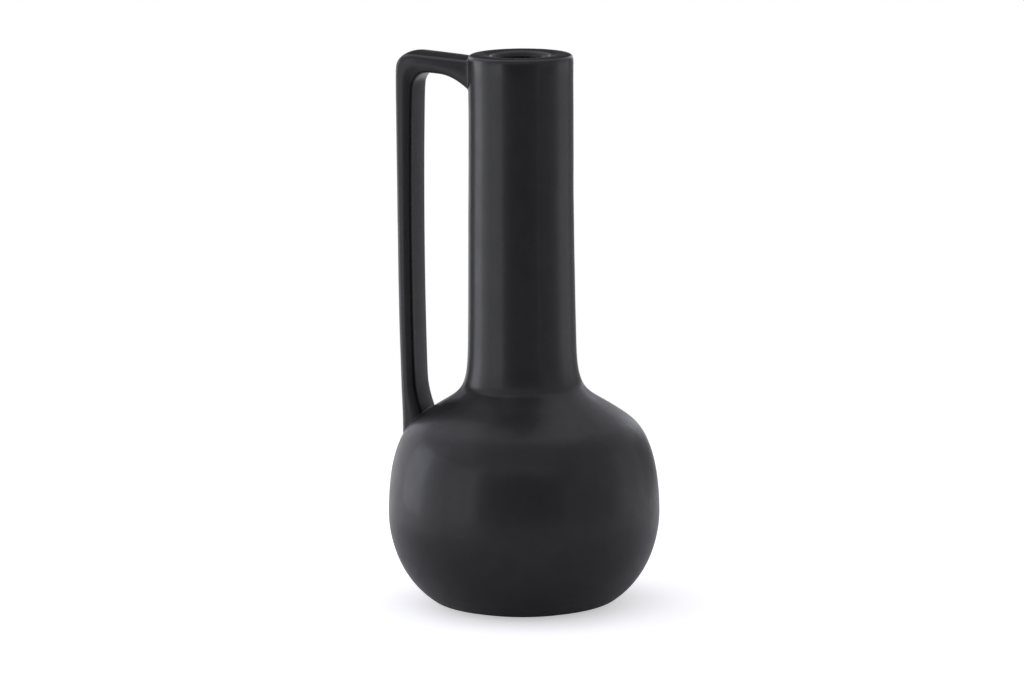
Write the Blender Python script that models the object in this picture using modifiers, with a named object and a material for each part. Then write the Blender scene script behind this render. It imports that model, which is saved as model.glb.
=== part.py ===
"""A stoneware bottle vase with a squared strap handle, in metres, +Z up.

The origin is on the vase's axis, at the level that it stands on. The handle points along -X.
The pot is made of the pieces that a potter throws, turns and lutes together: a globe body,
a neck, a thick rolled lip, a turned foot ring and a strap handle.
"""
import math

import bmesh
import bpy

# Foot
foot_radius = 0.0385
foot_width = 0.0065
foot_height = 0.0042
foot_edge_bevel = 0.0005
foot_recess = 0.0030
foot_undercut_z = 0.0016

# Outer form of the pot, from the ground up
height = 0.2910
turnout_overhang = 0.0105
turnout_z = 0.0035
turnout_slope = math.radians(35.0)
belly_radius = 0.0712
belly_widest_z = 0.0486
shoulder_radius = 0.0552
shoulder_z = 0.0986
shoulder_slope = math.radians(35.9)
neck_flare_height = 0.0418
neck_radius = 0.02835
neck_lean = math.radians(0.9)
neck_top_radius = 0.0275
lip_drop = 0.0050

# How full each curve between those places is, as the reach of its two handles
turnout_reach = 0.0259
underbelly_reach = 0.0040
overbelly_reach = 0.0376
shoulder_reach_below = 0.0063
shoulder_reach_above = 0.0269
neck_reach_below = 0.0321
neck_reach_above = 0.1070
lip_side_reach = 0.0044
lip_top_reach = 0.0058

# Wall, floor and mouth
wall = 0.0058
floor_thickness = 0.0068
mouth_radius = 0.0128
mouth_roll_width = 0.0075
mouth_roll_depth = 0.0040
mouth_roll_fullness = 0.70
throat_depth = 0.0085
throat_reach = 0.0045

# Where the thrown sections are luted together
neck_seam_rise = 0.0131
rim_height = 0.0125
lap_depth = 0.0025
slip_gap = 0.0003

# Strap handle: its section, the arm off the neck, the corner and the drop to the shoulder
strap_width = 0.0230
strap_edge_radius = 0.0032
edge_share = 0.45
strap_inset = 0.0074
strap_lean = 0.0016
lean_height = 0.0900
drop_thickness = 0.0101
corner_swell = 0.0012
swell_height = 0.0900
arm_thickness = 0.0093
arm_top_drop = 0.0026
arm_rise = math.radians(5.0)
outer_corner_radius = 0.0085
inner_corner_radius = 0.0085
root_web_length = 0.0170
root_web_depth = 0.0066
foot_web_length = 0.0200
foot_web_depth = 0.0041

# Fineness of the turned and lofted surfaces
turn_steps = 48
curve_steps = 8
edge_steps = 3
arm_stations = 9
corner_stations = 8
drop_stations = 8
landing_stations = 6

# Directions in the plane of a profile or of the strap
up = math.radians(90.0)
inward = math.radians(180.0)


def bezier(start, start_handle, end_handle, end, steps):
    """Points of one cubic curve, without its last one."""
    points = []
    for k in range(steps):
        t = k / steps
        s = 1.0 - t
        points.append(tuple(
            s ** 3 * a + 3 * s * s * t * b + 3 * s * t * t * c + t ** 3 * d
            for a, b, c, d in zip(start, start_handle, end_handle, end)))
    return points


def step_from(point, angle, distance):
    """The point at a distance from another, at an angle up from +radius."""
    return (point[0] + distance * math.cos(angle), point[1] + distance * math.sin(angle))


def outer_outline():
    """The pot's outer surface as (radius, height), from the turn-out of its base to its lip."""
    turnout = (foot_radius + turnout_overhang, turnout_z)
    widest = (belly_radius, belly_widest_z)
    shoulder = (shoulder_radius, shoulder_z)
    root = (neck_radius, shoulder_z + neck_flare_height)
    lip_side = (neck_top_radius, height - lip_drop)
    crest = (mouth_radius + mouth_roll_width, height)
    over_shoulder = inward - shoulder_slope
    up_neck = up + neck_lean
    outline = bezier(turnout, step_from(turnout, turnout_slope, turnout_reach),
                     step_from(widest, up, -underbelly_reach), widest, curve_steps)
    outline += bezier(widest, step_from(widest, up, overbelly_reach),
                      step_from(shoulder, over_shoulder, -shoulder_reach_below),
                      shoulder, curve_steps)
    outline += bezier(shoulder, step_from(shoulder, over_shoulder, shoulder_reach_above),
                      step_from(root, up_neck, -neck_reach_below), root, curve_steps + 2)
    outline += bezier(root, step_from(root, up_neck, neck_reach_above),
                      lip_side, lip_side, curve_steps // 2)
    outline += bezier(lip_side, step_from(lip_side, up, lip_side_reach),
                      step_from(crest, inward, -lip_top_reach), crest, curve_steps - 1)
    return outline + [crest]


def offset_outline(outline, distance):
    """An outline moved along its normals: outward for a positive distance."""
    moved = []
    for k, point in enumerate(outline):
        before = outline[max(k - 1, 0)]
        after = outline[min(k + 1, len(outline) - 1)]
        run = (after[0] - before[0], after[1] - before[1])
        length = math.hypot(*run)
        moved.append((point[0] + distance * run[1] / length,
                      point[1] - distance * run[0] / length))
    return moved


def radius_at(outline, level):
    """The radius of a rising outline at a height."""
    for low, high in zip(outline, outline[1:]):
        if low[1] <= level <= high[1]:
            share = (level - low[1]) / (high[1] - low[1])
            return low[0] + share * (high[0] - low[0])
    raise ValueError("the outline does not reach that height")


def between(outline, low, high):
    """The stretch of an outline between two heights, ending exactly on both."""
    inside = [point for point in outline if low + slip_gap < point[1] < high - slip_gap]
    return [(radius_at(outline, low), low)] + inside + [(radius_at(outline, high), high)]


def make_material(name, colour, roughness, coat):
    """A glaze or clay as one Principled shader."""
    material = bpy.data.materials.new(name)
    material.use_nodes = True
    shader = material.node_tree.nodes["Principled BSDF"]
    shader.inputs["Base Color"].default_value = (*colour, 1.0)
    shader.inputs["Roughness"].default_value = roughness
    shader.inputs["Metallic"].default_value = 0.0
    shader.inputs["Coat Weight"].default_value = coat
    material.diffuse_color = (*colour, 1.0)
    return material


def add_object(name, mesh, material, collection):
    """A new object that holds a mesh and wears one material."""
    mesh.materials.append(material)
    piece = bpy.data.objects.new(name, mesh)
    collection.objects.link(piece)
    return piece


def turned(name, profile, closed, material, collection):
    """A profile in the +X half plane, turned about Z with a Screw modifier."""
    mesh = bpy.data.meshes.new(name)
    form = bmesh.new()
    ring = [form.verts.new((radius, 0.0, level)) for radius, level in profile]
    for start, end in zip(ring, ring[1:]):
        form.edges.new((start, end))
    if closed:
        form.edges.new((ring[-1], ring[0]))
    form.to_mesh(mesh)
    form.free()
    piece = add_object(name, mesh, material, collection)
    screw = piece.modifiers.new("Turned", "SCREW")
    screw.steps = turn_steps
    screw.render_steps = turn_steps
    screw.use_merge_vertices = True
    screw.merge_threshold = 0.00001
    screw.use_smooth_shade = True
    return piece


def lap_middle(outline, inner, level):
    """The radius of the step in a lap joint: half way through the wall."""
    return (radius_at(outline, level) + radius_at(inner, level - lap_depth)) / 2


def belly_profile(outline, inner):
    """The globe: inside from the floor up, the lap for the neck, and down its outer side."""
    floor_top = foot_recess + floor_thickness
    seam = shoulder_z + neck_seam_rise
    seat = seam - lap_depth
    lap_radius = lap_middle(outline, inner, seam)
    groove_outer = foot_radius + slip_gap
    groove_inner = foot_radius - foot_width - slip_gap
    groove_top = foot_height + slip_gap
    profile = [(0.0, floor_top)]
    profile += between(inner, floor_top, seat)
    profile += [(lap_radius, seat), (lap_radius, seam)]
    profile += reversed(between(outline, turnout_z, seam))
    profile += [(groove_outer, foot_undercut_z), (groove_outer, groove_top)]
    profile += [(groove_inner, groove_top), (groove_inner, foot_recess), (0.0, foot_recess)]
    return profile


def neck_profile(outline, inner):
    """The neck: its tenon in the body's seat, the bore, the lap for the lip, the outer side."""
    body_seam = shoulder_z + neck_seam_rise
    rim_seam = height - rim_height
    bottom = body_seam + slip_gap
    tenon_radius = lap_middle(outline, inner, body_seam) - slip_gap
    tenon_bottom = bottom - lap_depth
    lap_radius = lap_middle(outline, inner, rim_seam)
    seat = rim_seam - lap_depth
    profile = [(tenon_radius, tenon_bottom)]
    profile += between(inner, tenon_bottom, seat)
    profile += [(lap_radius, seat), (lap_radius, rim_seam)]
    profile += reversed(between(outline, bottom, rim_seam))
    profile += [(tenon_radius, bottom)]
    return profile


def rim_profile(outline, inner):
    """The lip: a thick rolled ring that closes the bore in to a small round mouth."""
    seam = height - rim_height
    bottom = seam + slip_gap
    tenon_radius = lap_middle(outline, inner, seam) - slip_gap
    tenon_bottom = bottom - lap_depth
    bore = (radius_at(inner, tenon_bottom), tenon_bottom)
    throat_low = (mouth_radius, height - throat_depth)
    throat_high = (mouth_radius, height - mouth_roll_depth)
    crest = (mouth_radius + mouth_roll_width, height)
    profile = [(tenon_radius, tenon_bottom)]
    profile += bezier(bore, step_from(bore, up, throat_reach),
                      step_from(throat_low, up, -throat_reach / 2), throat_low, curve_steps // 2)
    profile += [throat_low]
    roll_up = step_from(throat_high, up, mouth_roll_fullness * mouth_roll_depth)
    roll_over = step_from(crest, inward, mouth_roll_fullness * mouth_roll_width)
    profile += bezier(throat_high, roll_up, roll_over, crest, curve_steps // 2)
    profile += reversed(between(outline, bottom, height))
    profile += [(tenon_radius, bottom)]
    return profile


def foot_profile():
    """The foot ring, a plain turned band of bare clay."""
    inner_radius = foot_radius - foot_width
    return [(inner_radius, 0.0), (inner_radius, foot_height),
            (foot_radius, foot_height), (foot_radius, 0.0)]


def web(distance, length, depth):
    """How far a fillet reaches out, at a distance from the wall that it springs from."""
    share = min(max(distance / length, 0.0), 1.0)
    return depth * (1.0 - share) ** 2


def level_at(outline, radius):
    """The height at which the pot's shoulder has a radius."""
    for low, high in zip(outline, outline[1:]):
        if high[0] <= radius <= low[0]:
            share = (low[0] - radius) / (low[0] - high[0])
            return low[1] + share * (high[1] - low[1])
    raise ValueError("the shoulder does not reach that radius")


def drop_reach(level, landing):
    """How far out the strap's outer edge is at a height: upright, then leaning in."""
    lean = min(max((landing + lean_height - level) / lean_height, 0.0), 1.0)
    return belly_radius - strap_inset + strap_lean * (1.0 - lean ** 2)


def drop_levels(corner_level, landing, bottom):
    """The heights of the drop's stations, closer together where it lands."""
    web_top = landing + foot_web_length
    levels = [corner_level + (web_top - corner_level) * k / drop_stations
              for k in range(drop_stations)]
    levels += [web_top - foot_web_length * k / landing_stations
               for k in range(landing_stations)]
    return levels + [landing, bottom]


def neck_wall_reach():
    """How far out the neck's wall is beside the strap's edges."""
    return math.sqrt(neck_top_radius ** 2 - (strap_width / 2) ** 2)


def rail(top_level, corner_reach, corner_radius, arm_web, reach_at, landing, bottom):
    """One edge of the strap as (reach, height): along the arm, round the corner and down."""
    rise = math.tan(arm_rise)
    turn = up + arm_rise
    start = neck_wall_reach() - wall
    corner_level = (top_level + (corner_reach - neck_radius) * rise
                    - corner_radius / math.cos(arm_rise))
    centre = (corner_reach, corner_level)
    arm_end = step_from(centre, turn, corner_radius)[0]
    points = []
    for k in range(arm_stations):
        reach = start + (arm_end - start) * k / arm_stations
        points.append((reach, top_level + (reach - neck_radius) * rise - arm_web(reach)))
    for k in range(corner_stations):
        points.append(step_from(centre, turn * (1.0 - k / corner_stations), corner_radius))
    for level in drop_levels(corner_level, landing, bottom):
        points.append((reach_at(level), level))
    return points


def outer_rail(landing, bottom):
    """The strap's outer edge."""
    reach = belly_radius - strap_inset + strap_lean
    return rail(height - arm_top_drop, reach - outer_corner_radius, outer_corner_radius,
                lambda arm_reach: 0.0, lambda level: drop_reach(level, landing),
                landing, bottom)


def inner_rail(landing, bottom):
    """The strap's inner edge, webbed where it springs from the neck and from the shoulder."""
    under_level = height - arm_top_drop - arm_thickness / math.cos(arm_rise)
    reach = belly_radius - strap_inset + strap_lean - drop_thickness - corner_swell
    swell_start = under_level - swell_height

    def reach_at(level):
        swell = min(max((level - swell_start) / swell_height, 0.0), 1.0)
        foot = web(level - landing, foot_web_length, foot_web_depth)
        return drop_reach(level, landing) - drop_thickness - corner_swell * swell ** 2 - foot

    return rail(under_level, reach - inner_corner_radius, inner_corner_radius,
                lambda arm_reach: web(arm_reach - neck_wall_reach(), root_web_length,
                                      root_web_depth), reach_at, landing, bottom)


def strap_section(outer, inner):
    """One rounded rectangle of the strap, between a point of each rail."""
    thickness = math.dist(outer, inner)
    middle = ((outer[0] + inner[0]) / 2, (outer[1] + inner[1]) / 2)
    across = ((outer[0] - inner[0]) / thickness, (outer[1] - inner[1]) / thickness)
    edge = min(strap_edge_radius, edge_share * thickness)
    points = []
    for side, face, quarter in ((1, 1, 0), (1, -1, 3), (-1, -1, 2), (-1, 1, 1)):
        for k in range(edge_steps + 1):
            turn = up * (quarter + 1 - k / edge_steps)
            sideways = side * (strap_width / 2 - edge) + edge * math.cos(turn)
            outward = face * (thickness / 2 - edge) + edge * math.sin(turn)
            points.append((-(middle[0] + outward * across[0]), sideways,
                           middle[1] + outward * across[1]))
    return points


def strap(material, collection, outline):
    """The handle as a loft between its two rails, with capped ends."""
    landing = level_at(outline, belly_radius - strap_inset - drop_thickness)
    edge_reach = math.hypot(belly_radius - strap_inset, strap_width / 2)
    bottom = level_at(outline, edge_reach) - wall
    form = bmesh.new()
    rings = []
    for outer, inner in zip(outer_rail(landing, bottom), inner_rail(landing, bottom)):
        rings.append([form.verts.new(point) for point in strap_section(outer, inner)])
    count = len(rings[0])
    for ring, following in zip(rings, rings[1:]):
        for k in range(count):
            form.faces.new((ring[k], ring[(k + 1) % count],
                            following[(k + 1) % count], following[k]))
    form.faces.new(rings[0][::-1])
    form.faces.new(rings[-1])
    bmesh.ops.recalc_face_normals(form, faces=form.faces)
    mesh = bpy.data.meshes.new("handle")
    form.to_mesh(mesh)
    form.free()
    return add_object("handle", mesh, material, collection)


def cut_to_pot(piece, outline, material, cutters):
    """Cuts a piece to the pot's outer surface, less the gap that the slip fills."""
    clear = offset_outline(outline, slip_gap)
    profile = [(0.0, clear[-1][1])] + clear[::-1] + [(0.0, clear[0][1])]
    cutter = turned("pot_outside", profile, False, material, cutters)
    cutter.hide_render = True
    cutter.display_type = "WIRE"
    boolean = piece.modifiers.new("Fitted to the pot", "BOOLEAN")
    boolean.operation = "DIFFERENCE"
    boolean.solver = "EXACT"
    boolean.object = cutter


def main():
    """Builds the five pieces."""
    for old in list(bpy.data.objects):
        bpy.data.objects.remove(old, do_unlink=True)
    parts = bpy.data.collections.new("stoneware_vase")
    cutters = bpy.data.collections.new("cutters")
    bpy.context.scene.collection.children.link(parts)
    bpy.context.scene.collection.children.link(cutters)
    glaze = make_material("satin_black_glaze", (0.014, 0.014, 0.015), 0.38, 0.15)
    clay = make_material("bare_stoneware", (0.30, 0.21, 0.13), 0.85, 0.0)

    outline = outer_outline()
    inner = offset_outline(outline, -wall)
    turned("belly", belly_profile(outline, inner), False, glaze, parts)
    turned("neck", neck_profile(outline, inner), True, glaze, parts)
    turned("mouth_rim", rim_profile(outline, inner), True, glaze, parts)
    foot = turned("foot_ring", foot_profile(), True, clay, parts)
    bevel = foot.modifiers.new("Wiped edges", "BEVEL")
    bevel.width = foot_edge_bevel
    bevel.segments = 2
    bevel.limit_method = "ANGLE"
    handle = strap(glaze, parts, outline)
    cut_to_pot(handle, outline, glaze, cutters)
    for piece in parts.objects:
        piece.data.shade_smooth()


main()
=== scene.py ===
"""The stoneware vase as it looks: a satin black pot with a strap handle, on a pale floor.

Each piece stands for one solid, and follows the same outline or the same two rails, only finer.
The strap's section, the mouth's width and the unevenness are a little different from the solids'.
Metres, +Z up, the handle towards -X.
"""

import math

import bpy
import numpy as np
from mathutils import Matrix, Vector


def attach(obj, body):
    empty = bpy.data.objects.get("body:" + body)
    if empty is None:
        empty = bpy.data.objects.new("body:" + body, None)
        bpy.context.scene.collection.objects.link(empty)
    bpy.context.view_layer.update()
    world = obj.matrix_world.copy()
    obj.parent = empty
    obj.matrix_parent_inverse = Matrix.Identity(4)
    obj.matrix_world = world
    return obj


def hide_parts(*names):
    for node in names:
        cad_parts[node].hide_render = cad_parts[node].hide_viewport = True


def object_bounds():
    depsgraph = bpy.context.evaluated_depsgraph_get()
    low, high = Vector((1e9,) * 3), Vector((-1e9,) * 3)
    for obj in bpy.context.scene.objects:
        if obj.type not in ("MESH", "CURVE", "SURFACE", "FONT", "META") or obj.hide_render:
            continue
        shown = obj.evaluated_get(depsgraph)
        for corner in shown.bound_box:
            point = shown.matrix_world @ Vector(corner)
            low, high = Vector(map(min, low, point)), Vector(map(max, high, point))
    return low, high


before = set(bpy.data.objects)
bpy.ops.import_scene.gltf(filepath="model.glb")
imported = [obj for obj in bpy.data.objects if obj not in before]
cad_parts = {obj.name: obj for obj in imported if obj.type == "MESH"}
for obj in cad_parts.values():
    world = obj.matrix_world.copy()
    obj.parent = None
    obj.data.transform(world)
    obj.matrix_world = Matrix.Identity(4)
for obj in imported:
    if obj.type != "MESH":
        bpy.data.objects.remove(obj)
cad_box = [list(corner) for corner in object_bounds()]

# Directions in the plane of radius and height, as angles up from outward
up = math.radians(90.0)
inward = math.radians(180.0)

# The pot's size, just inside the solids' box to leave room for its unevenness
top_clearance = 0.00026
side_clearance = 0.00006
height = round(cad_box[1][2], 5) - top_clearance
belly_radius = round(cad_box[1][0], 5) - side_clearance

# The pot's outer form, from the ground up
foot_radius = 0.0385
foot_width = 0.0065
foot_height = 0.0042
foot_recess = 0.0030
foot_softness = 0.0007
turnout_overhang = 0.0105
turnout_z = 0.0035
turnout_slope = math.radians(35.0)
belly_widest_z = 0.0486
shoulder_radius = 0.0552
shoulder_z = 0.0986
shoulder_slope = math.radians(35.9)
neck_flare_height = 0.0418
neck_radius = 0.02835
neck_lean = math.radians(0.9)
neck_top_radius = 0.0275
lip_drop = 0.00475

# How far each curve of the outer form runs on before it bends
turnout_reach = 0.0259
underbelly_reach = 0.0040
overbelly_reach = 0.0376
shoulder_reach_below = 0.0063
shoulder_reach_above = 0.0269
neck_reach_below = 0.0321
neck_reach_above = 0.1070
lip_side_reach = 0.0044
lip_top_reach = 0.0060

# The base round the foot ring: distances from the ring's own radii, and heights
recess_corner = 0.0020
recess_edge = 0.0006
recess_edge_rise = 0.0003
groove_gap = 0.0002
groove_top = foot_height + 0.0001
groove_mouth = 0.0003
groove_mouth_z = 0.0026
hem_start = (foot_radius + 0.0004, 0.0018)
hem_low = (foot_radius + 0.0010, 0.0009)
hem_reach = 0.0040

# Wall, floor and mouth
wall = 0.0058
floor_thickness = 0.0068
floor_corner_rise = 0.0040
floor_corner_drop = (0.0022, 0.0030)
floor_corner_reach = 0.0080
floor_corner_width = 0.0150
mouth_radius = 0.0150
mouth_roll_width = 0.0058
mouth_roll_depth = 0.0040
mouth_roll_fullness = 0.70
throat_depth = 0.0085
throat_reach = 0.0045
floor_top = foot_recess + floor_thickness
crest = (mouth_radius + mouth_roll_width, height)

# Where the thrown sections meet
neck_seam_z = shoulder_z + 0.0131
rim_seam_z = height - 0.01225
lap_depth = 0.0025

# The strap
strap_width = 0.0246
strap_edge_radius = 0.0040
strap_face_crown = math.radians(8.0)
strap_side_crown = math.radians(12.0)
strap_inset = 0.0063
strap_lean = 0.0016
lean_height = 0.0900
drop_thickness = 0.0092
corner_swell = 0.0012
swell_height = 0.0900
arm_thickness = 0.0099
arm_top_drop = 0.00250
arm_rise = math.radians(4.0)
outer_corner_radius = 0.0080
inner_corner_radius = 0.0085
root_web_length = 0.0170
root_web_depth = 0.0078
foot_web_length = 0.0200
foot_web_depth = 0.0041

# How far out the neck's wall is where the strap's sides meet it
neck_wall_reach = math.sqrt(neck_top_radius ** 2 - (strap_width / 2) ** 2)

# Small fillets of slip where the strap meets the pot, and how deep their edges and its ends go in
arm_fillet = 0.0013
landing_fillet = 0.0007
skirt_sink = 0.00004
strap_end_sink = 0.0020

# The neck's bow: how far, between which heights it comes and goes, and out to which radius
neck_bow = (-0.00034, -0.00010)
bow_start = 0.104
bow_rise = 0.030
bow_end = 0.262
bow_fall = 0.060
bow_radius = 0.050
bow_fade = 0.012

# The lip's lean: its rise per metre along X and Y, how far down it acts and out to which radius
lip_lean = (0.0041, -0.0113)
lip_lean_depth = 0.012
lip_lean_rise = 0.010
lip_lean_radius = 0.036
lip_lean_fade = 0.006

# The walls' waver, which dies out at the ground, at the crest and near the axis. Each wave has a
# share, and for each of its factors the radians per metre along X, Y and Z and the phase
waver_depth = 0.00005
waver_start = 0.020
waver_end = 0.012
waver_core = 0.010
waves = ((1.0, (61.0, 0.0, 83.0, 0.7), (0.0, 74.0, -39.0, 1.9)),
         (0.6, (55.0, -97.0, 118.0, 4.1)),
         (0.4, (0.0, -141.0, 203.0, 2.3), (167.0, 0.0, 0.0, 0.4)))

# The heights between which the glaze rounds the neck's foot, and where its turn is done
crease_low = 0.1090
crease_turn = 0.1148
crease_high = 0.1198

# Lengths that count as nothing: from the axis, and of a vector
on_axis = 1e-6
no_length = 1e-15

# How finely the shapes are drawn
turns = 256
underbelly_steps = 56
overbelly_steps = 56
shoulder_steps = 64
neck_steps = 90
lip_steps = 36
hem_steps = 12
roll_steps = 32
throat_steps = 6
ceiling_steps = 24
floor_corner_steps = 10
foot_corner_steps = 4
arm_steps = 60
corner_steps = 40
drop_steps = 80
foot_web_steps = 40
buried_steps = 24
face_steps = 4
edge_steps = 9
side_steps = 2
fillet_rows = 7
blend_rows = 8
blend_steps = 14
rail_softening = 30

# The glaze: colours, roughness and how far that varies, coat, and reliefs in metres
glaze_deep = (0.0046, 0.0045, 0.0049, 1.0)
glaze_thin = (0.0072, 0.0069, 0.0073, 1.0)
glaze_fleck = (0.014, 0.0135, 0.014, 1.0)
fleck_share = 0.35
glaze_roughness = 0.41
lip_roughness = 0.30
gloss_low = height - 0.0110
gloss_high = height - 0.0035
smear_variation = 0.025
grain_variation = 0.015
cloud_variation = 0.022
glaze_ior = 1.36
coat_weight = 0.12
coat_roughness = 0.14
peel_relief = 0.000010
grain_relief = 0.000004

# The bare clay
clay_dark = (0.290, 0.212, 0.134, 1.0)
clay_pale = (0.440, 0.333, 0.220, 1.0)
clay_grit = (0.075, 0.050, 0.032, 1.0)
grit_share = 0.7
clay_roughness = (0.80, 0.95)
sand_relief = 0.00006

# The noises in both: waves per metre, detail and roughness
mottle_noise = (85.0, 4.0, 0.55)
grain_noise = (1900.0, 2.0, 0.6)
smear_noise = (140.0, 3.0, 0.6)
cloud_noise = (48.0, 2.0, 0.5)
peel_noise = (420.0, 2.0, 0.5)
sand_noise = (2600.0, 3.0, 0.65)
patch_noise = (240.0, 3.0, 0.5)

# The part of a noise's range over which it takes effect
most = (0.30, 0.70)
smear_range = (0.28, 0.72)
fleck_range = (0.55, 0.78)
grit_range = (0.60, 0.74)

# The camera: its bearing from the square view of the handle, its place, its aim and its lens
camera_turn = math.radians(20.0)
camera_distance = 3.0835
camera_height = 0.6973
camera_yaw = math.radians(0.105)
camera_tilt = math.radians(90.0 - 10.26)
camera_roll = math.radians(-0.475)
lens_mm = 210.7
sensor_mm = 36.0
view_limit = 100.0

# The floor and the room
white = (1.0, 1.0, 1.0, 1.0)
floor_radius = 0.45
floor_corners = 128
floor_grey = 0.80
floor_lift = 0.50
# The share of the floor's glow that reflections see: none within floor_shade_radius, rising to
# floor_mirrored at the rim, a painted shade round the foot
floor_mirrored = 0.8
floor_shade_radius = 0.10
floor_light = 0.67
horizon_blur = 0.03
room_light = 0.73
room_tint = (0.97, 0.965, 1.06, 1.0)

# The lamps: name, bearing from the camera's and elevation in degrees, distance, width and
# height, and brightness, where 1 is a white card's
studio_centre = Vector((0.0, 0.0, 0.14))
lamp_tint = (0.96, 0.975, 1.10)
lamps = (("left_soft", -82.0, 0.0, 1.9, (2.60, 1.80), 0.42),
         ("rear_left_strip", -109.0, 0.0, 1.6, (0.80, 1.50), 1.50),
         ("left_edge_strip", -100.0, 0.0, 1.6, (0.25, 1.50), 0.64),
         ("front_left_strip", -55.0, 2.0, 2.1, (0.80, 1.75), 0.49),
         ("front_left_edge", -45.0, 2.0, 2.1, (0.30, 1.75), 1.04),
         ("far_left", -145.0, 5.0, 2.0, (1.00, 1.40), 0.46),
         ("right_strip", 97.0, 0.0, 2.0, (0.50, 1.80), 0.50),
         ("high_front", -8.0, 30.0, 2.6, (3.40, 0.60), 0.32),
         ("high_left", -80.0, 45.0, 2.2, (1.60, 1.00), 0.43),
         ("high_rear_left", -135.0, 50.0, 2.0, (1.30, 1.00), 0.44),
         ("rear_right_high", 158.5, 10.0, 2.4, (0.70, 0.75), 0.85),
         ("overhead", 180.0, 78.0, 2.0, (2.40, 1.40), 0.47))

# The matt cards, in the same order, with a grey in place of the brightness
cards = (("front_card", -2.0, -1.0, 3.3, (4.9, 3.1), 0.45),
         ("right_card", 61.0, -13.0, 3.3, (2.6, 1.5), 0.7),
         ("rear_right_card", 143.0, -6.0, 2.5, (1.5, 1.7), 0.42),
         ("rear_card", 180.0, 24.0, 3.0, (1.8, 2.10), 0.12))


def rising(value, start, width):
    """0 up to a start, then evenly up to 1 over a width."""
    return np.clip((value - start) / width, 0.0, 1.0)


def falling(value, end, width):
    """1, then evenly down over a width to 0 at an end."""
    return np.clip((end - value) / width, 0.0, 1.0)


def bezier(start, start_handle, end_handle, end, steps):
    """Points of one cubic curve in the plane of radius and height, without its last one."""
    t = (np.arange(steps) / steps)[:, None]
    s = 1.0 - t
    a, b, c, d = (np.array(point) for point in (start, start_handle, end_handle, end))
    return s ** 3 * a + 3 * s * s * t * b + 3 * s * t * t * c + t ** 3 * d


def step_from(point, angle, distance):
    """The point at a distance from another, at an angle up from outward."""
    return (point[0] + distance * math.cos(angle), point[1] + distance * math.sin(angle))


def outer_outline():
    """The pot's outer surface from the turn-out of its base to the crest of its lip."""
    turnout = (foot_radius + turnout_overhang, turnout_z)
    widest = (belly_radius, belly_widest_z)
    shoulder = (shoulder_radius, shoulder_z)
    root = (neck_radius, shoulder_z + neck_flare_height)
    lip_side = (neck_top_radius, height - lip_drop)
    over_shoulder = inward - shoulder_slope
    up_neck = up + neck_lean
    return np.vstack([
        bezier(turnout, step_from(turnout, turnout_slope, turnout_reach),
               step_from(widest, up, -underbelly_reach), widest, underbelly_steps),
        bezier(widest, step_from(widest, up, overbelly_reach),
               step_from(shoulder, over_shoulder, -shoulder_reach_below), shoulder,
               overbelly_steps),
        bezier(shoulder, step_from(shoulder, over_shoulder, shoulder_reach_above),
               step_from(root, up_neck, -neck_reach_below), root, shoulder_steps),
        bezier(root, step_from(root, up_neck, neck_reach_above), lip_side, lip_side, neck_steps),
        bezier(lip_side, step_from(lip_side, up, lip_side_reach),
               step_from(crest, inward, -lip_top_reach), crest, lip_steps),
        [crest]])


def outline_normals(outline):
    """Unit normals to the right of a line's run."""
    run = np.gradient(outline, axis=0)
    run /= np.linalg.norm(run, axis=1)[:, None]
    return np.stack([run[:, 1], -run[:, 0]], axis=1)


def with_level(outline, level):
    """A rising outline with a point exactly at a level."""
    k = int(np.argmax(outline[:, 1] >= level))
    low, high = outline[k - 1], outline[k]
    share = (level - low[1]) / (high[1] - low[1])
    return np.vstack([outline[:k], [low + share * (high - low)], outline[k:]])


def nearest_row(line, level):
    """The row of a line whose height is nearest to a level."""
    return int(np.argmin(abs(line[:, 1] - level)))


def base_line(turnout):
    """The base from the axis out: its recess, the ring's groove, and the hem to the turn-out."""
    inside = foot_radius - foot_width
    recess = np.array([
        (0.0, foot_recess), (inside - recess_corner, foot_recess),
        (inside - recess_edge, foot_recess + recess_edge_rise),
        (inside - groove_gap, groove_top), (foot_radius + groove_gap, groove_top),
        (foot_radius + groove_mouth, groove_mouth_z)])
    hem = bezier(hem_start, hem_low, step_from(turnout, turnout_slope, -hem_reach), turnout,
                 hem_steps)
    return np.vstack([recess, hem])


def bore_line(outer):
    """The bore's wall, set in from the outer outline, from above the floor to the lip's lap."""
    inner = outer - wall * outline_normals(outer)
    below_lap = inner[:, 1] < rim_seam_z - lap_depth
    below_lap[np.argmax(~below_lap):] = False
    return inner[below_lap & (inner[:, 1] > floor_top + floor_corner_rise)]


def mouth_line(bore_end):
    """The mouth from the lip's crest over its roll, down the throat and out to the bore."""
    throat_high = (mouth_radius, height - mouth_roll_depth)
    throat_low = (mouth_radius, height - throat_depth)
    return np.vstack([
        bezier(crest, step_from(crest, inward, mouth_roll_fullness * mouth_roll_width),
               step_from(throat_high, up, mouth_roll_fullness * mouth_roll_depth), throat_high,
               roll_steps),
        bezier(throat_high, throat_high, throat_low, throat_low, throat_steps),
        bezier(throat_low, step_from(throat_low, up, -throat_reach / 2),
               step_from(bore_end, up, throat_reach), bore_end, ceiling_steps)])


def floor_line(edge):
    """The inside of the floor, from below the bore's wall round its corner to the axis."""
    flat_edge = (edge[0] - floor_corner_width, floor_top)
    corner = bezier(edge, edge - floor_corner_drop, (edge[0] - floor_corner_reach, floor_top),
                    flat_edge, floor_corner_steps)
    return np.vstack([corner[1:], [flat_edge, (0.0, floor_top)]])


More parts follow.
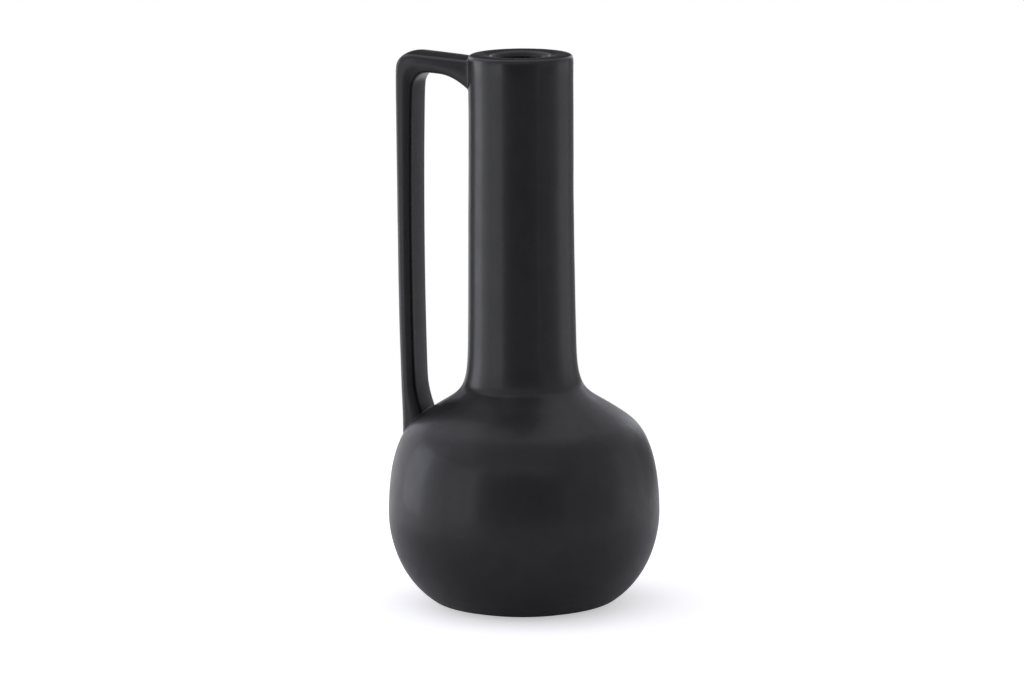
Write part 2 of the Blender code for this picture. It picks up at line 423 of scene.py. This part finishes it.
def pot_profile():
    """The whole skin from the middle of the base, up the outside, over the lip and down inside.

    Returns its points, and the rows at which the sections meet: the neck's seam and the lip's on
    the outside, then the lip's and the neck's inside.
    """
    outer = with_level(with_level(outer_outline(), neck_seam_z), rim_seam_z)
    base = base_line(outer[0])
    bore = bore_line(outer)
    mouth = mouth_line(bore[-1])
    line = np.vstack([base, outer[:-1], mouth, bore[::-1], floor_line(bore[0])])
    neck_out = len(base) + nearest_row(outer, neck_seam_z)
    rim_out = len(base) + nearest_row(outer, rim_seam_z)
    rim_in = len(base) + len(outer) - 1 + len(mouth)
    neck_in = rim_in + nearest_row(bore[::-1], neck_seam_z - lap_depth)
    return line, (neck_out, rim_out, rim_in, neck_in)


def uneven(points):
    """The potter's unevenness: the neck bows, the lip leans, and all walls waver a little.

    It is one smooth field in space, so pieces that meet still meet.
    """
    x, y, z = points[..., 0], points[..., 1], points[..., 2]
    reach = np.hypot(x, y)
    bow = rising(z, bow_start, bow_rise) * falling(z, bow_end, bow_fall)
    bow = bow * bow * (3.0 - 2.0 * bow) * falling(reach, bow_radius, bow_fade)
    waver = waver_depth * rising(z, 0.0, waver_start) * falling(z, height, waver_end)
    total = 0.0
    for share, *factors in waves:
        wave = share
        for along_x, along_y, along_z, phase in factors:
            wave = wave * np.sin(along_x * x + along_y * y + along_z * z + phase)
        total = total + wave
    waver = waver * total
    away = np.maximum(reach, waver_core)
    at_lip = rising(z, height - lip_lean_depth, lip_lean_rise)
    at_lip = at_lip * falling(reach, lip_lean_radius, lip_lean_fade)
    moved = points.copy()
    moved[..., 0] += neck_bow[0] * bow + waver * x / away
    moved[..., 1] += neck_bow[1] * bow + waver * y / away
    moved[..., 2] += (lip_lean[0] * x + lip_lean[1] * y) * at_lip
    return moved


def turned_grid(line):
    """A profile turned about the axis, as rows of points."""
    angles = np.arange(turns) * (2.0 * math.pi / turns)
    grid = np.empty((len(line), turns, 3))
    grid[:, :, 0] = line[:, 0][:, None] * np.cos(angles)
    grid[:, :, 1] = line[:, 0][:, None] * np.sin(angles)
    grid[:, :, 2] = line[:, 1][:, None]
    return grid


def grid_normals(grid):
    """Unit normals of rows of points that close round, outward for rows that climb outside."""
    along = np.gradient(grid, axis=0)
    around = np.roll(grid, -1, axis=1) - np.roll(grid, 1, axis=1)
    normals = np.cross(around, along)
    return normals / np.maximum(np.linalg.norm(normals, axis=2, keepdims=True), no_length)


def turned_out(normals, outward):
    """Normals, all turned over if most of them point against the way out."""
    return -normals if (normals * outward).sum() < 0.0 else normals


def tightened(line, normals, last):
    """The skin's normals with the turn at the neck's foot made within a shorter height."""
    level = line[:last, 1]
    rows = np.flatnonzero((level >= crease_low) & (level <= crease_high))
    wanted = np.interp(level[rows], [crease_low, crease_turn, crease_high],
                       [level[rows[0]], level[rows[0]], crease_high])
    source = np.interp(wanted, level[rows], rows)
    under = np.minimum(source.astype(int), last - 2)
    share = (source - under)[:, None, None]
    turned = normals.copy()
    turned[rows] = (1.0 - share) * normals[under] + share * normals[under + 1]
    turned[rows] /= np.linalg.norm(turned[rows], axis=2, keepdims=True)
    return turned


def ring_faces(rows, count, closed):
    """Quads between neighbouring rows of points, and from the last row to the first if closed."""
    faces = []
    pairs = [(k, k + 1) for k in range(rows - 1)] + ([(rows - 1, 0)] if closed else [])
    for low, high in pairs:
        for j in range(count):
            after = (j + 1) % count
            faces.append((low * count + j, low * count + after,
                          high * count + after, high * count + j))
    return faces


def tip_faces(tip, row, count):
    """Triangles from the first or the last row of points to the tip that closes it."""
    faces = []
    for j in range(count):
        near, after = row * count + j, row * count + (j + 1) % count
        faces.append((tip, after, near) if row == 0 else (tip, near, after))
    return faces


def faced_out(faces, points, directions, sample):
    """Faces, all turned over if a sample one of them looks against its normal."""
    corners = faces[sample][:3]
    a, b, c = (points[k] for k in corners)
    if np.dot(np.cross(b - a, c - b), directions[corners[0]]) < 0.0:
        return [face[::-1] for face in faces]
    return faces


def add_piece(name, points, faces, normals, material):
    """A new smooth piece with given vertex normals, which rides on the pot's one body."""
    mesh = bpy.data.meshes.new(name)
    mesh.from_pydata(points.tolist(), [], faces)
    mesh.polygons.foreach_set("use_smooth", [True] * len(mesh.polygons))
    mesh.normals_split_custom_set_from_vertices(normals.tolist())
    mesh.materials.append(material)
    mesh.update()
    piece = bpy.data.objects.new(name, mesh)
    bpy.context.scene.collection.objects.link(piece)
    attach(piece, "root")
    return piece


def add_section(name, grid, normals, rows, closed, material):
    """One thrown section of the pot: some rows of its skin, joined inside the wall."""
    poles = [k for k in (rows[0], rows[-1]) if np.ptp(grid[k, :, 0]) < on_axis]
    rings = [k for k in rows if k not in poles]
    points = grid[rings].reshape(-1, 3)
    directions = normals[rings].reshape(-1, 3)
    faces = ring_faces(len(rings), turns, closed)
    for pole in poles:
        row = 0 if pole == rows[0] else len(rings) - 1
        faces += tip_faces(len(points), row, turns)
        points = np.vstack([points, grid[pole, :1]])
        directions = np.vstack([directions, [(0.0, 0.0, -1.0 if row == 0 else 1.0)]])
    return add_piece(name, points, faces, directions, material)


def web(distance, length, depth):
    """How far a web reaches out, at a distance from the wall that it springs from."""
    return depth * (1.0 - rising(distance, 0.0, length)) ** 2


def level_at(outline, radius):
    """The height at which the pot's shoulder has a radius."""
    shoulder = outline[np.argmax(outline[:, 0]):]
    return float(np.interp(-radius, -shoulder[:, 0], shoulder[:, 1]))


def drop_reach(level, landing):
    """How far out the strap's outer edge is at a height: upright, then leaning in."""
    lean = falling(level, landing + lean_height, lean_height)
    return belly_radius - strap_inset + strap_lean * (1.0 - lean ** 2)


def rail(top_level, corner_reach, corner_radius, arm_web, reach_at, landing, bottom):
    """One edge of the strap as (reach, height): along the arm, round the corner and down."""
    rise = math.tan(arm_rise)
    turn = up + arm_rise
    corner_level = (top_level + (corner_reach - neck_radius) * rise
                    - corner_radius / math.cos(arm_rise))
    arm_end = corner_reach + corner_radius * math.cos(turn)
    reach = np.linspace(neck_wall_reach - wall, arm_end, arm_steps, endpoint=False)
    arm = np.stack([reach, top_level + (reach - neck_radius) * rise - arm_web(reach)], axis=1)
    angle = np.linspace(turn, 0.0, corner_steps, endpoint=False)
    corner = np.stack([corner_reach + corner_radius * np.cos(angle),
                       corner_level + corner_radius * np.sin(angle)], axis=1)
    web_top = landing + foot_web_length
    levels = np.concatenate([np.linspace(corner_level, web_top, drop_steps, endpoint=False),
                             np.linspace(web_top, landing, foot_web_steps, endpoint=False),
                             np.linspace(landing, bottom, buried_steps + 1)])
    drop = np.stack([reach_at(levels), levels], axis=1)
    line = np.vstack([arm, corner, drop])
    for _ in range(rail_softening):
        line[1:-1] = (line[:-2] + 2.0 * line[1:-1] + line[2:]) / 4.0
    return line


def strap_rails(outline):
    """The strap's outer and inner edges, point for point."""
    landing = level_at(outline, belly_radius - strap_inset - drop_thickness)
    edge_reach = math.hypot(belly_radius - strap_inset, strap_width / 2)
    bottom = level_at(outline, edge_reach) - wall
    reach = belly_radius - strap_inset + strap_lean
    under_level = height - arm_top_drop - arm_thickness / math.cos(arm_rise)
    under_reach = reach - drop_thickness - corner_swell

    def inner_reach(level):
        swell = rising(level, under_level - swell_height, swell_height)
        foot = web(level - landing, foot_web_length, foot_web_depth)
        return drop_reach(level, landing) - drop_thickness - corner_swell * swell ** 2 - foot

    outer = rail(height - arm_top_drop, reach - outer_corner_radius, outer_corner_radius,
                 lambda arm: 0.0 * arm, lambda level: drop_reach(level, landing),
                 landing, bottom)
    inner = rail(under_level, under_reach - inner_corner_radius, inner_corner_radius,
                 lambda arm: web(arm - neck_wall_reach, root_web_length, root_web_depth),
                 inner_reach, landing, bottom)
    return outer, inner


def strap_quarter(thickness):
    """A quarter of the strap's section at each thickness, from mid-face to mid-side.

    It is three arcs that run into each other: the face's crown, the round edge and the side's
    crown. Returns how far each point is sideways and outward from the section's middle.
    """
    face_end, edge_end = strap_face_crown, up - strap_side_crown
    wide = strap_width / 2 - strap_edge_radius * (math.sin(edge_end) - math.sin(face_end))
    tall = thickness / 2 - strap_edge_radius * (math.cos(face_end) - math.cos(edge_end))
    share = (math.sin(face_end) * math.cos(edge_end)
             - (1.0 - math.cos(face_end)) * (1.0 - math.sin(edge_end)))
    face_radius = (wide * math.cos(edge_end) - tall * (1.0 - math.sin(edge_end))) / share
    side_radius = (tall * math.sin(face_end) - wide * (1.0 - math.cos(face_end))) / share
    headings = np.concatenate([np.linspace(0.0, face_end, face_steps, endpoint=False),
                               np.linspace(face_end, edge_end, edge_steps, endpoint=False),
                               np.linspace(edge_end, up, side_steps + 1)])
    sideways, outward = [], []
    for heading in headings:
        on_face, on_side = min(heading, face_end), max(heading, edge_end)
        on_edge = np.clip(heading, face_end, edge_end)
        sideways.append(face_radius * math.sin(on_face)
                        + strap_edge_radius * (math.sin(on_edge) - math.sin(face_end))
                        + side_radius * (math.sin(on_side) - math.sin(edge_end)))
        outward.append(thickness / 2 - face_radius * (1.0 - math.cos(on_face))
                       - strap_edge_radius * (math.cos(face_end) - math.cos(on_edge))
                       - side_radius * (math.cos(edge_end) - math.cos(on_side)))
    return np.stack(sideways, axis=1), np.stack(outward, axis=1)


def strap_sections(outer, inner):
    """The strap's whole section at each pair of rail points, as rows of points in space."""
    gap = outer - inner
    thickness = np.linalg.norm(gap, axis=1)
    across = gap / thickness[:, None]
    middle = (outer + inner) / 2
    sideways, outward = strap_quarter(thickness)
    there, back = slice(0, -1), slice(-1, 0, -1)
    beside = np.hstack([sideways[:, there], sideways[:, back],
                        -sideways[:, there], -sideways[:, back]])
    above = np.hstack([outward[:, there], -outward[:, back],
                       -outward[:, there], outward[:, back]])
    grid = np.empty(beside.shape + (3,))
    grid[:, :, 0] = -(middle[:, :1] + above * across[:, :1])
    grid[:, :, 1] = beside
    grid[:, :, 2] = middle[:, 1:] + above * across[:, 1:]
    return grid


def pot_side(points, outline, normals):
    """For points in space: signed distance to the pot, the closest point on it, its normal."""
    reach = np.hypot(points[:, 0], points[:, 1])
    flat = np.stack([reach, points[:, 2]], axis=1)
    heading = points[:, :2] / reach[:, None]
    start, run = outline[:-1], np.diff(outline, axis=0)
    relative = flat[:, None, :] - start[None]
    share = np.clip((relative * run).sum(axis=2) / (run * run).sum(axis=1), 0.0, 1.0)
    near = start[None] + share[:, :, None] * run[None]
    gap = np.linalg.norm(flat[:, None, :] - near, axis=2)
    k = gap.argmin(axis=1)
    row = np.arange(len(points))
    foot, part = near[row, k], share[row, k][:, None]
    normal = normals[k] * (1.0 - part) + normals[k + 1] * part
    normal /= np.linalg.norm(normal, axis=1)[:, None]
    sign = np.sign(((flat - foot) * normal).sum(axis=1))
    closest = np.column_stack([foot[:, :1] * heading, foot[:, 1]])
    direction = np.column_stack([normal[:, :1] * heading, normal[:, 1]])
    return sign * gap[row, k], closest, direction


def crossing(distances, value):
    """For each column, the fractional row at which it first rises through a value."""
    above = distances >= value
    first = above.argmax(axis=0)
    column = np.arange(distances.shape[1])
    low, high = distances[first - 1, column], distances[first, column]
    return first - 1 + (value - low) / (high - low)


def at_rows(grid, where):
    """The grid's points at one fractional row for each column."""
    low = np.clip(np.floor(where).astype(int), 0, len(grid) - 2)
    share = (where - low)[:, None]
    column = np.arange(grid.shape[1])
    return grid[low, column] * (1.0 - share) + grid[low + 1, column] * share


def skirt(grid, normals, distances, fillet, outline, pot_normals):
    """The slip fillet at the start of a grid: rows from the pot's skin up to the strap.

    Returns the fractional row at which each column leaves it, its rows, and the pot's normals
    at its toe.
    """
    leave = crossing(distances, fillet)
    stem = at_rows(grid, leave)
    root = at_rows(grid, crossing(distances, 0.0))
    facing = at_rows(normals, leave)
    _, root, pot_normal = pot_side(root, outline, pot_normals)
    away = facing - (facing * pot_normal).sum(axis=1)[:, None] * pot_normal
    away /= np.linalg.norm(away, axis=1)[:, None]
    _, toe, toe_normal = pot_side(root + fillet * away, outline, pot_normals)
    rows = []
    for share in np.arange(fillet_rows) / fillet_rows:
        rows.append((1.0 - share) ** 2 * toe + 2.0 * share * (1.0 - share) * root
                    + share ** 2 * stem)
    rows[0] = rows[0] - skirt_sink * toe_normal
    return leave, np.array(rows), toe_normal


def strap_between(grid, first, last):
    """The strap's rows between its fillets: slanting as their edges do, then straight.

    A fillet's edge is given as the fractional row at which it crosses each column.
    """
    from_row = math.ceil(first.max()) + blend_rows
    to_row = math.floor(last.min()) - blend_rows
    rows = [at_rows(grid, first + (from_row - first) * k / blend_steps)
            for k in range(blend_steps)]
    rows += list(grid[from_row:to_row])
    rows += [at_rows(grid, to_row + (last - to_row) * k / blend_steps)
             for k in range(blend_steps + 1)]
    return np.array(rows)


def add_strap(outline, material):
    """The handle: a strap lofted between its rails, with a fillet of slip at each end."""
    pot_normals = outline_normals(outline)
    grid = strap_sections(*strap_rails(outline))
    stations, count = grid.shape[:2]
    normals = turned_out(grid_normals(grid), grid - grid.mean(axis=1, keepdims=True))
    distances = pot_side(grid.reshape(-1, 3), outline, pot_normals)[0].reshape(stations, count)
    first, arm_rows, arm_toe = skirt(grid, normals, distances, arm_fillet, outline, pot_normals)
    last, landing_rows, landing_toe = skirt(grid[::-1], normals[::-1], distances[::-1],
                                            landing_fillet, outline, pot_normals)
    between = strap_between(grid, first, stations - 1 - last)
    whole = np.concatenate([arm_rows, between, landing_rows[::-1]])
    directions = turned_out(grid_normals(whole), whole - whole.mean(axis=1, keepdims=True))
    directions[0], directions[-1] = arm_toe, landing_toe
    faces = ring_faces(len(whole), count, False)
    points, directions = whole.reshape(-1, 3), directions.reshape(-1, 3)
    for row, toe in ((0, arm_toe), (len(whole) - 1, landing_toe)):
        inside = -toe.mean(axis=0)
        faces += tip_faces(len(points), row, count)
        points = np.vstack([points, [whole[row].mean(axis=0) + strap_end_sink * inside]])
        directions = np.vstack([directions, [-inside]])
    faces = faced_out(faces, points, directions, (len(whole) // 2) * count)
    return add_piece("handle_glazed", uneven(points), faces, directions, material)


def foot_section():
    """The foot ring's section: four corners, each rounded by a quarter turn."""
    inner_radius = foot_radius - foot_width
    corners = [(inner_radius, 0.0, 1.0, 1.0), (inner_radius, foot_height, 1.0, -1.0),
               (foot_radius, foot_height, -1.0, -1.0), (foot_radius, 0.0, -1.0, 1.0)]
    line = []
    for radius, level, inside, above in corners:
        middle = np.array([radius + inside * foot_softness, level + above * foot_softness])
        start = math.atan2(-above, -inside) + up / 2
        for j in range(foot_corner_steps + 1):
            angle = start - up * j / foot_corner_steps
            line.append(middle + foot_softness * np.array([math.cos(angle), math.sin(angle)]))
    return np.array(line)


def add_foot(material):
    """The bare foot ring, with edges that a wet sponge has rounded."""
    line = foot_section()
    grid = turned_grid(line)
    wrapped = np.concatenate([grid[-1:], grid, grid[:1]])
    heading = grid * (1.0, 1.0, 0.0)
    heading /= np.linalg.norm(heading, axis=2, keepdims=True)
    middle = (foot_radius - foot_width / 2) * heading + (0.0, 0.0, foot_height / 2)
    normals = turned_out(grid_normals(wrapped)[1:-1], grid - middle)
    points, directions = grid.reshape(-1, 3), normals.reshape(-1, 3)
    faces = faced_out(ring_faces(len(line), turns, True), points, directions, 0)
    return add_piece("foot_ring_bare", points, faces, directions, material)


class Graph:
    """A short way to build the nodes of a material or of the world."""

    def __init__(self, owner, shader, space):
        owner.use_nodes = True
        self.owner = owner
        self.tree = owner.node_tree
        self.shader = self.tree.nodes[shader]
        self.place = self.add("ShaderNodeTexCoord").outputs[space]

    def add(self, kind, **settings):
        """A new node with some of its settings made."""
        node = self.tree.nodes.new(kind)
        for name, value in settings.items():
            setattr(node, name, value)
        return node

    def link(self, value, socket):
        """Links an output to a socket, or writes a plain value into it."""
        if isinstance(value, bpy.types.NodeSocket):
            self.tree.links.new(value, socket)
        else:
            socket.default_value = value

    def shade(self, **values):
        """Feeds the shader's sockets, whose names have spaces where these have underscores."""
        for name, value in values.items():
            self.link(value, self.shader.inputs[name.replace("_", " ")])

    def level(self):
        """The height of the place that is shaded."""
        split = self.add("ShaderNodeSeparateXYZ")
        self.link(self.place, split.inputs[0])
        return split.outputs["Z"]

    def noise(self, scale, detail, roughness):
        """Noise between 0 and 1, its scale in waves per metre."""
        node = self.add("ShaderNodeTexNoise")
        self.link(self.place, node.inputs["Vector"])
        self.link(scale, node.inputs["Scale"])
        self.link(detail, node.inputs["Detail"])
        self.link(roughness, node.inputs["Roughness"])
        return node.outputs["Fac"]

    def spread(self, value, low=0.0, high=1.0, to_low=0.0, to_high=1.0, smooth=True):
        """A value's range mapped to another range, held at its ends."""
        node = self.add("ShaderNodeMapRange",
                        interpolation_type="SMOOTHSTEP" if smooth else "LINEAR")
        for socket, number in zip(node.inputs, (value, low, high, to_low, to_high)):
            self.link(number, socket)
        return node.outputs["Result"]

    def varied(self, noise, amount, span=most):
        """A noise mapped to an amount below and above nothing."""
        return self.spread(noise, *span, -amount, amount)

    def work_out(self, operation, a, b):
        """One step of arithmetic."""
        node = self.add("ShaderNodeMath", operation=operation)
        self.link(a, node.inputs[0])
        self.link(b, node.inputs[1])
        return node.outputs[0]

    def mix(self, share, first, second, kind="RGBA"):
        """One colour fading into another, or one number where the kind is FLOAT."""
        node = self.add("ShaderNodeMix", data_type=kind)
        self.link(share, node.inputs["Factor"])
        self.link(first, node.inputs["A"])
        self.link(second, node.inputs["B"])
        return node.outputs["Result"]

    def bump(self, value, distance, normal=None):
        """A surface relief, its distance in metres."""
        node = self.add("ShaderNodeBump")
        self.link(1.0, node.inputs["Strength"])
        self.link(distance, node.inputs["Distance"])
        self.link(value, node.inputs["Height"])
        if normal is not None:
            self.link(normal, node.inputs["Normal"])
        return node.outputs["Normal"]

    def seen(self, reflected=None):
        """1 for what is seen straight, else 0, and the same or a share of it in reflections."""
        path = self.add("ShaderNodeLightPath")
        mirrored = self.work_out("MAXIMUM", path.outputs["Is Glossy Ray"],
                                 path.outputs["Is Transmission Ray"])
        if reflected is not None:
            mirrored = self.work_out("MULTIPLY", mirrored, reflected)
        return self.work_out("MAXIMUM", path.outputs["Is Camera Ray"], mirrored)


def new_material(name):
    """A new material and the nodes that it starts with."""
    return Graph(bpy.data.materials.new(name), "Principled BSDF", "Object")


def black_glaze():
    """Satin black glaze: mottled, grained, with a slight orange peel, and glossier at the lip."""
    g = new_material("satin_black_glaze")
    grain = g.noise(*grain_noise)
    tone = g.mix(g.spread(g.noise(*mottle_noise), *most), glaze_deep, glaze_thin)
    tone = g.mix(g.spread(grain, *fleck_range, 0.0, fleck_share), tone, glaze_fleck)
    dull = g.work_out("ADD", g.varied(g.noise(*smear_noise), smear_variation, smear_range),
                      g.varied(grain, grain_variation))
    dull = g.work_out("ADD", dull, g.varied(g.noise(*cloud_noise), cloud_variation))
    fired = g.spread(g.level(), gloss_low, gloss_high, glaze_roughness, lip_roughness)
    peel = g.bump(g.noise(*peel_noise), peel_relief)
    g.shade(Base_Color=tone, Roughness=g.work_out("ADD", dull, fired),
            Normal=g.bump(grain, grain_relief, peel), IOR=glaze_ior,
            Coat_Weight=coat_weight, Coat_Roughness=coat_roughness)
    return g.owner


def bare_clay():
    """Bare fired stoneware: tan, sandy and dry."""
    g = new_material("bare_stoneware")
    sand = g.noise(*sand_noise)
    tone = g.mix(g.spread(g.noise(*patch_noise), *most), clay_dark, clay_pale)
    tone = g.mix(g.spread(sand, *grit_range, 0.0, grit_share), tone, clay_grit)
    g.shade(Base_Color=tone, Roughness=g.spread(sand, *most, *clay_roughness),
            Normal=g.bump(sand, sand_relief))
    return g.owner


def matt(name, grey):
    """A plain matt grey for the floor and the cards."""
    g = new_material(name)
    g.shade(Base_Color=(grey, grey, grey, 1.0), Roughness=1.0, Specular_IOR_Level=0.0)
    return g


def add_camera():
    """The camera that took the photograph: its place, aim and lens."""
    data = bpy.data.cameras.new("camera")
    data.sensor_width = sensor_mm
    data.lens = lens_mm
    data.clip_end = view_limit
    camera = bpy.data.objects.new("camera", data)
    bpy.context.scene.collection.objects.link(camera)
    camera.location = (camera_distance * math.sin(camera_turn),
                       -camera_distance * math.cos(camera_turn), camera_height)
    aim = (Matrix.Rotation(camera_turn + camera_yaw, 4, "Z")
           @ Matrix.Rotation(camera_tilt, 4, "X") @ Matrix.Rotation(camera_roll, 4, "Z"))
    camera.rotation_mode = "QUATERNION"
    camera.rotation_quaternion = aim.to_quaternion()
    bpy.context.scene.camera = camera


def on_stage(name, mesh):
    """A floor or card of the studio, which isn't part of the pot."""
    thing = bpy.data.objects.new(name, mesh)
    bpy.context.scene.collection.objects.link(thing)
    return thing


def set_facing(thing, azimuth, elevation, distance):
    """Sets a lamp or card to face the pot, at a bearing from the camera's, plus to its right."""
    turn = camera_turn + math.radians(azimuth)
    rise = math.radians(elevation)
    back = Vector((math.sin(turn) * math.cos(rise), -math.cos(turn) * math.cos(rise),
                   math.sin(rise)))
    thing.location = studio_centre + distance * back
    thing.rotation_mode = "QUATERNION"
    thing.rotation_quaternion = back.to_track_quat("Z", "Y")


def add_lamp(name, azimuth, elevation, distance, size, brightness):
    """A soft rectangular lamp that faces the pot, as bright as a white card times a number."""
    data = bpy.data.lights.new(name, "AREA")
    data.shape = "RECTANGLE"
    data.size, data.size_y = size
    data.energy = math.pi * size[0] * size[1] * brightness
    data.color = lamp_tint
    lamp = bpy.data.objects.new(name, data)
    bpy.context.scene.collection.objects.link(lamp)
    set_facing(lamp, azimuth, elevation, distance)


def add_card(name, azimuth, elevation, distance, size, grey):
    """A matt card that the camera doesn't see, which the glaze reflects."""
    width, tall = size[0] / 2, size[1] / 2
    mesh = bpy.data.meshes.new(name)
    mesh.from_pydata([(-width, -tall, 0.0), (width, -tall, 0.0), (width, tall, 0.0),
                      (-width, tall, 0.0)], [], [(0, 1, 2, 3)])
    card = on_stage(name, mesh)
    set_facing(card, azimuth, elevation, distance)
    card.visible_camera = False
    mesh.materials.append(matt(name, grey).owner)


def add_floor():
    """A round pale table top, seen as white but for the pot's soft shadow."""
    mesh = bpy.data.meshes.new("floor")
    angles = [2 * math.pi * k / floor_corners for k in range(floor_corners)]
    ring = [(floor_radius * math.cos(angle), floor_radius * math.sin(angle), 0.0)
            for angle in angles]
    mesh.from_pydata(ring, [], [tuple(range(floor_corners))])
    on_stage("floor", mesh)
    g = matt("pale_floor", floor_grey)
    away = g.add("ShaderNodeVectorMath", operation="LENGTH")
    g.link(g.place, away.inputs[0])
    # Reflections see only a share of the glow, none near the pot and more towards the rim:
    # painted shade round the foot, seen in the glaze
    share = g.spread(away.outputs["Value"], floor_shade_radius, floor_radius, 0.0,
                     floor_mirrored)
    lift = g.spread(g.seen(share), to_high=floor_lift, smooth=False)
    g.shade(Emission_Color=white, Emission_Strength=lift)
    mesh.materials.append(g.owner)


def add_world():
    """A dim grey room above the horizon, and below it a white floor without an end."""
    world = bpy.data.worlds.new("studio")
    bpy.context.scene.world = world
    g = Graph(world, "Background", "Generated")
    below = g.spread(g.level(), horizon_blur, -horizon_blur, smooth=False)
    ground = g.spread(g.seen(), to_low=floor_light, smooth=False)
    g.shade(Color=g.mix(below, room_tint, white),
            Strength=g.mix(below, room_light, ground, "FLOAT"))


glaze = black_glaze()
line, (neck_out, rim_out, rim_in, neck_in) = pot_profile()
skin = uneven(turned_grid(line))
normals = tightened(line, grid_normals(skin), rim_out)
belly = add_section("belly_glazed", skin, normals,
                    list(range(neck_out + 1)) + list(range(neck_in, len(line))), False, glaze)
neck = add_section("neck_glazed", skin, normals,
                   list(range(neck_out, rim_out + 1)) + list(range(rim_in, neck_in + 1)),
                   True, glaze)
rim = add_section("lip_glazed", skin, normals, list(range(rim_out, rim_in + 1)), True, glaze)
handle = add_strap(outer_outline(), glaze)
foot = add_foot(bare_clay())
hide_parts("belly")
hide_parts("neck")
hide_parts("mouth_rim")
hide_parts("handle")
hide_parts("foot_ring")

bpy.context.scene.view_settings.view_transform = "Standard"
add_camera()
add_floor()
add_world()
for lamp in lamps:
    add_lamp(*lamp)
for card in cards:
    add_card(*card)
